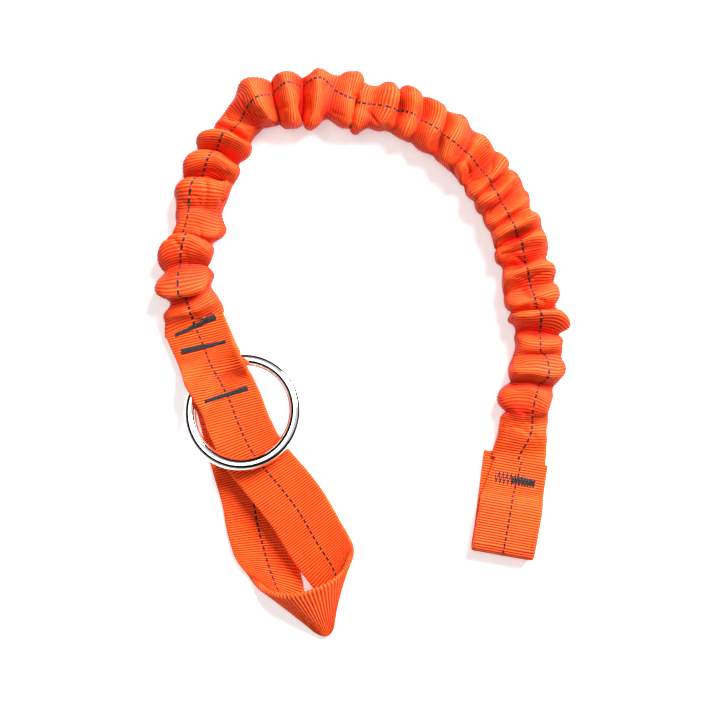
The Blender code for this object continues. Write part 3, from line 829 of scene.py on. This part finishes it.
swing = next(joint for joint in frame["joints"] if joint["name"] == "ring_swing")
POCKET = np.array(swing["pos_m"])
AXIS = unit(swing["axis"])
TOWARD = unit(np.cross([0, 0, 1.0], AXIS))
SWING_LIMIT = math.radians(swing["range_deg"][1])


def wire_point(angle, lift):
    """A point of the wire's centre line, counted from the pocket, with the ring's plane tilted by lift."""
    level = TOWARD * math.cos(lift) + np.array([0, 0, math.sin(lift)])
    return POCKET + level * RING_RADIUS * (1 - math.cos(angle)) + AXIS * RING_RADIUS * math.sin(angle)


def make_ring():
    turns, sides = 240, 40
    level = TOWARD * math.cos(RING_TILT) + np.array([0, 0, math.sin(RING_TILT)])
    normal = np.cross(level, AXIS)
    centre = POCKET + level * RING_RADIUS
    weld_at = math.radians(205)
    vertices = []
    for turn in np.linspace(0, 2 * math.pi, turns, endpoint=False):
        middle = wire_point(turn, RING_TILT)
        outward = unit(middle - centre)
        from_weld = (turn - weld_at + math.pi) % (2 * math.pi) - math.pi
        bead = 0.10 * MM * math.exp(-(from_weld / 0.030) ** 2)
        bead -= 0.07 * MM * math.exp(-(from_weld / 0.008) ** 2)
        for a in np.linspace(0, 2 * math.pi, sides, endpoint=False):
            around = outward * math.cos(a) + normal * math.sin(a)
            vertices.append(middle + (RING_WIRE_RADIUS + bead) * around)
    index = np.arange(turns * sides).reshape(turns, sides)
    ahead, beside = np.roll(index, -1, axis=0), np.roll(index, -1, axis=1)
    both = np.roll(ahead, -1, axis=1)
    faces = np.stack([index, ahead, both, beside], axis=-1).reshape(-1, 4)
    ring = plain_object("welded_ring", np.array(vertices), faces, CHROME)
    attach(ring, "ring")
    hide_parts("ring")


# ------------------------------------------------------------------ choke loop

def swept_wire():
    """Points of the wire under the strap, from the ring at rest to its limit."""
    half_width = math.asin((WEBBING_WIDTH / 2 + RING_WIRE_RADIUS) / RING_RADIUS)
    lifts = RING_TILT + np.linspace(0, SWING_LIMIT, 13)
    angles = np.linspace(-half_width, half_width, 61)
    return np.array([wire_point(angle, lift) for lift in lifts for angle in angles])


def draped(points):
    """The height of a strap's middle surface over the swinging wire at these places."""
    wire = swept_wire()
    reach = RING_WIRE_RADIUS + 2 * CLEARANCE + WEBBING_THICKNESS / 2
    slope = 2.2
    tangent = math.sqrt(1 + slope**2)
    flat = points.reshape(-1, 3)
    heights = np.full(len(flat), -1.0)
    for q in wire:
        distance = np.hypot(flat[:, 0] - q[0], flat[:, 1] - q[1])
        dome = q[2] + np.sqrt(np.clip(reach**2 - distance**2, 0, None))
        skirt = q[2] + reach * tangent - slope * distance
        heights = np.maximum(heights, np.where(distance < reach * slope / tangent, dome, skirt))
    return heights.reshape(points.shape[:2])


def choke_loop_sheet(columns=25):
    """The strap's middle surface round the whole loop, and the distance along its cut length."""
    pairs = np.array(CHOKE_LOOP).reshape(-1, 6) * MM
    rows, _ = smooth_curve(pairs, RIB_PITCH / ROWS_PER_RIB)
    rows = smoothed(rows, 40)
    outer, inner = rows[:, :3], rows[:, 3:]
    middle = (outer + inner) / 2
    direction = inner - outer
    direction /= np.linalg.norm(direction, axis=1, keepdims=True)
    shares = np.linspace(-0.5, 0.5, columns)
    sheet = middle[:, None] + direction[:, None] * shares[None, :, None] * WEBBING_WIDTH
    front = np.arange(len(rows)) < 0.35 * len(rows)
    raised = sheet[front]
    raised[:, :, 2] = np.maximum(raised[:, :, 2], draped(raised))
    raised[:, :, 2] = np.maximum(smoothed(smoothed(raised[:, :, 2], 240), 3, axis=1), raised[:, :, 2])
    raised[:, :, 2] = smoothed(raised[:, :, 2], 10)
    sheet[front] = raised
    steps = np.linalg.norm(np.diff(sheet[:, columns // 2], axis=0), axis=1)
    return sheet, np.concatenate([[0], np.cumsum(steps)])


def make_choke_loop():
    sheet, cut = choke_loop_sheet()
    tack = np.array(BAR_TACKS["bar_tack_upper"][:2]) * MM
    line = unit(tack[1] - tack[0])
    beyond = (sheet[:, :, 0] - tack[0][0]) * -line[1] + (sheet[:, :, 1] - tack[0][1]) * line[0]
    for rows in (slice(0, len(sheet) // 3), slice(2 * len(sheet) // 3, len(sheet))):
        over = np.clip(beyond[rows] - 0.5 * MM, 0, None)
        sheet[rows, :, 0] -= over * -line[1]
        sheet[rows, :, 1] -= over * line[0]
    keep = beyond.min(axis=1) < 0.4 * MM
    sheet, cut = sheet[keep], cut[keep]
    grid = strap_grid(sheet, cut, marked_side=-1)
    grid[:, :, 2] = np.maximum(grid[:, :, 2], ABOVE_FLOOR)
    piece = cloth_object("choke_loop", grid, STRAP_SECTION[:, 2], cut, WEBBING, caps=True)
    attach(piece, "ring_end")
    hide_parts("choke_loop_webbing")
    return piece


# ------------------------------------------------------------------ eye

def make_eye():
    start, end = np.array(EYE_START), np.array(EYE_END)
    toward = unit(end - start)
    sideways = np.array([toward[1], -toward[0]])
    length = float(np.linalg.norm(end - start))
    thick = WEBBING_THICKNESS / MM
    half = (EYE_OPENING + thick) / 2
    fold = length - half - thick / 2
    sewn = EYE_TACK_FROM_END + ZIGZAG_HEIGHT
    full = FLOOR + 2 * half
    profile = [(0.0, SEWN), (sewn / 2, SEWN), (sewn, SEWN)]
    profile += [(sewn + 5, SEWN + 0.75 * (full - SEWN)), (sewn + 10, full)]
    bend = np.linspace(0, math.pi, 9)
    profile += [(fold + half * math.sin(a), FLOOR + half + half * math.cos(a)) for a in bend]
    profile += [(fold * 0.5, FLOOR), (0.0, FLOOR), (-1.6, FLOOR)]
    rows, cut = smooth_curve(profile, RIB_PITCH / MM / ROWS_PER_RIB)
    shares = np.linspace(-0.5, 0.5, 25)
    sheet = np.empty((len(rows), len(shares), 3))
    under = np.clip((cut - cut[-1] * 0.62) / (cut[-1] * 0.38), 0, 1)
    from_neck = np.clip(1 - cut / EYE_TAPER_LENGTH, 0, 1)
    narrow = 1 - EYE_NARROWING * from_neck
    for j, share in enumerate(shares):
        offset = narrow * share * WEBBING_WIDTH / MM - EYE_START_OFFSET * from_neck
        middle = start + np.outer(rows[:, 0], toward) + np.outer(offset, sideways)
        middle = middle + np.outer(under * EYE_UNDER_OFFSET, sideways)
        wave = 0.25 * math.sin(share * 7.0) * np.sin(rows[:, 0] * 0.16) * (rows[:, 1] > 5)
        sheet[:, j] = np.column_stack([middle, rows[:, 1] + wave])
    sheet *= MM
    cut = cut * MM
    grid = strap_grid(sheet, cut, marked_side=-1)
    grid[:, :, 2] = np.maximum(grid[:, :, 2], ABOVE_FLOOR)
    piece = cloth_object("eye_loop", grid, STRAP_SECTION[:, 2], cut, WEBBING, caps=True)
    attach(piece, "eye_end")
    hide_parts("eye_webbing")
    return piece, start, toward, sideways


# ------------------------------------------------------------------ thread

def surface_tree(pieces):
    """A search tree over the surfaces of some pieces."""
    vertices, faces, start = [], [], 0
    for piece in pieces:
        mesh = piece.data
        vertices += [tuple(v.co) for v in mesh.vertices]
        faces += [[start + i for i in polygon.vertices] for polygon in mesh.polygons]
        start += len(mesh.vertices)
    return BVHTree.FromPolygons(vertices, faces)


def laid_on(tree, spot, lift, lowest=0.0):
    """A point this far above the surface under a spot, or above the sewn layers where there is none."""
    hit = tree.ray_cast(Vector((*spot, RAYS_FROM)), Vector((0, 0, -1)))[0]
    return (*spot, max(hit.z if hit else SEWN_TOP, lowest) + lift)


def make_bar_tack(name, tree):
    """A satin bar of thread: a zigzag whose passes lie side by side, with two strands along the bar."""
    left, right, wide_left, wide_right = BAR_TACKS[name]
    left, right = np.array(left) * MM, np.array(right) * MM
    line = unit(right - left)
    side = np.array([-line[1], line[0]])
    length = np.linalg.norm(right - left)
    rng = np.random.default_rng(len(name))
    passes = int(length / SATIN_SPACING)
    path = []
    for i in range(passes + 1):
        share = i / passes
        wide = (wide_left + (wide_right - wide_left) * share) * MM * (0.92 + 0.16 * rng.random())
        end = 1 if i % 2 else -1
        for place, lift in ((0.5 * end, 0.0), (0.3 * end, 0.6), (0.0, 0.85), (-0.3 * end, 0.6)):
            slip = (0.5 - place * end) * 0.5
            spot = left + line * length * (share + slip / passes) + side * wide * place
            path.append(laid_on(tree, spot, (0.05 + 0.30 * lift) * MM, lowest=SEWN_TOP * 0.9))
    parts = [tube_parts(path, THREAD_RADIUS, 6)]
    for strand in range(2):
        offset = (strand - 0.5) * 0.6 * MM
        run = []
        for share in np.linspace(0.02, 0.98, 60):
            sway = 0.25 * MM * math.sin(share * 23 + strand * 2)
            spot = left + line * length * share + side * (offset + sway)
            run.append(laid_on(tree, spot, 0.42 * MM))
        parts.append(tube_parts(run, THREAD_RADIUS * 0.8, 6))
    if name == "bar_tack_upper":
        tail = []
        for share in np.linspace(0, 1, 40):
            spot = right + line * (-0.5 - 6.5 * share) * MM + side * (1.6 + 0.5 * math.sin(share * 9)) * MM
            tail.append(laid_on(tree, spot, 0.25 * MM))
        parts.append(tube_parts(tail, THREAD_RADIUS, 6))
    vertices, faces = joined(parts)
    piece = plain_object(name + "_thread", vertices, faces, THREAD)
    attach(piece, "ring_end")
    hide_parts(name)


def make_zigzag(tree, start, toward, sideways):
    """The zigzag tack across the eye: tall passes that crowd together at one end, and three strands there."""
    middle = (start + toward * EYE_TACK_FROM_END) * MM
    rng = np.random.default_rng(4)
    if sideways[0] < 0:
        sideways = -sideways
    path = []
    at, i = -8.3, 0
    while at < 8.0:
        crowd = np.clip((at + 1.0) / 9.0, 0, 1)
        tall = (ZIGZAG_HEIGHT * 0.5) * (1 - 0.30 * crowd) * (0.9 + 0.2 * rng.random())
        path.append((at, tall * (1 if i % 2 else -1)))
        at += 0.80 - 0.46 * crowd
        i += 1
    fine = []
    for (a0, b0), (a1, b1) in zip(path, path[1:]):
        for t in np.linspace(0, 1, 9)[:-1]:
            spot = middle + (sideways * (a0 + (a1 - a0) * t) + toward * (b0 + (b1 - b0) * t)) * MM
            fine.append(laid_on(tree, spot, (0.04 + 0.16 * math.sin(math.pi * t)) * MM))
    parts = [tube_parts(fine, THREAD_RADIUS, 6)]
    for row in range(3):
        run = []
        for share in np.linspace(0, 1, 70):
            a = -1.5 + 9.6 * share
            b = 0.9 * (row - 1) + 0.35 * math.sin(a * 5.5 + row * 2.1)
            spot = middle + (sideways * a + toward * b) * MM
            run.append(laid_on(tree, spot, 0.34 * MM))
        parts.append(tube_parts(run, THREAD_RADIUS, 6))
    vertices, faces = joined(parts)
    piece = plain_object("zigzag_thread", vertices, faces, THREAD)
    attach(piece, "eye_end")
    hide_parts("zigzag_tack")


# ------------------------------------------------------------------ stage

def area_light(name, place, size, power):
    """A round light that faces the middle of the scene."""
    light = bpy.data.lights.new(name, "AREA")
    light.shape = "DISK"
    light.size = size
    light.energy = power
    made = placed(name, light)
    made.location = place
    made.rotation_euler = (-Vector(place)).to_track_quat("-Z", "Y").to_euler()


def make_world():
    """Even white light. Glossy rays see light and dark bands in its place, for the ring to reflect."""
    world = bpy.data.worlds.new("studio")
    bpy.context.scene.world = world
    n = Nodes(world, "Background")
    split = n.add("ShaderNodeSeparateXYZ")
    n.link(n.add("ShaderNodeTexCoord").outputs["Generated"], split.inputs[0])
    sides = n.math("ADD", split.outputs[0], split.outputs[1])
    ramp = n.add("ShaderNodeValToRGB")
    n.link(n.math("MULTIPLY_ADD", sides, 0.30, split.outputs[2]), ramp.inputs[0])
    stops = ramp.color_ramp.elements
    stops[0].position, stops[0].color = 0.0, (2.2, 2.2, 2.2, 1)
    stops[1].position, stops[1].color = 1.0, (3.0, 3.0, 3.0, 1)
    for position, grey in ((0.02, 2.4), (0.09, 0.02), (0.60, 0.01), (0.80, 0.30), (0.92, 3.2)):
        stops.new(position).color = (grey, grey, grey, 1)
    glossy = n.add("ShaderNodeLightPath").outputs["Is Glossy Ray"]
    n.give({"Strength": 0.22, "Color": n.mix(glossy, (1, 1, 1), ramp.outputs[0])})


def make_floor():
    floor_mesh = bpy.data.meshes.new("floor")
    side = 3.0
    corners = [(-side, -side, 0), (side, -side, 0), (side, side, 0), (-side, side, 0)]
    floor_mesh.from_pydata(corners, [], [(0, 1, 2, 3)])
    floor = placed("floor", floor_mesh)
    floor.location.z = -0.2 * MM
    n = Nodes(bpy.data.materials.new("white_floor"))
    n.give({
        "Base Color": (0.80, 0.80, 0.80),
        "Roughness": 0.9,
        "Emission Color": (1, 1, 1),
        "Emission Strength": 0.36,
    })
    floor_mesh.materials.append(n.owner)


def make_stage():
    bpy.context.scene.view_settings.view_transform = "Standard"
    make_world()
    make_floor()
    area_light("key", (0.58, 0.76, 0.86), 0.75, 62)
    area_light("fill", (-0.3, 0.1, 1.5), 1.2, 9)


def make_camera():
    camera = placed("camera", bpy.data.cameras.new("camera"))
    camera.data.lens = 100
    camera.data.sensor_width = 36
    camera.location = (-0.8 * MM, -2.2 * MM, 0.808)
    bpy.context.scene.camera = camera


def main():
    make_camera()
    make_stage()
    make_core()
    sleeve = make_sleeve()
    loop = make_choke_loop()
    eye, start, toward, sideways = make_eye()
    make_ring()
    ring_end = surface_tree([loop, sleeve[0]])
    for name in BAR_TACKS:
        make_bar_tack(name, ring_end)
    make_zigzag(surface_tree([eye]), start, toward, sideways)


main()
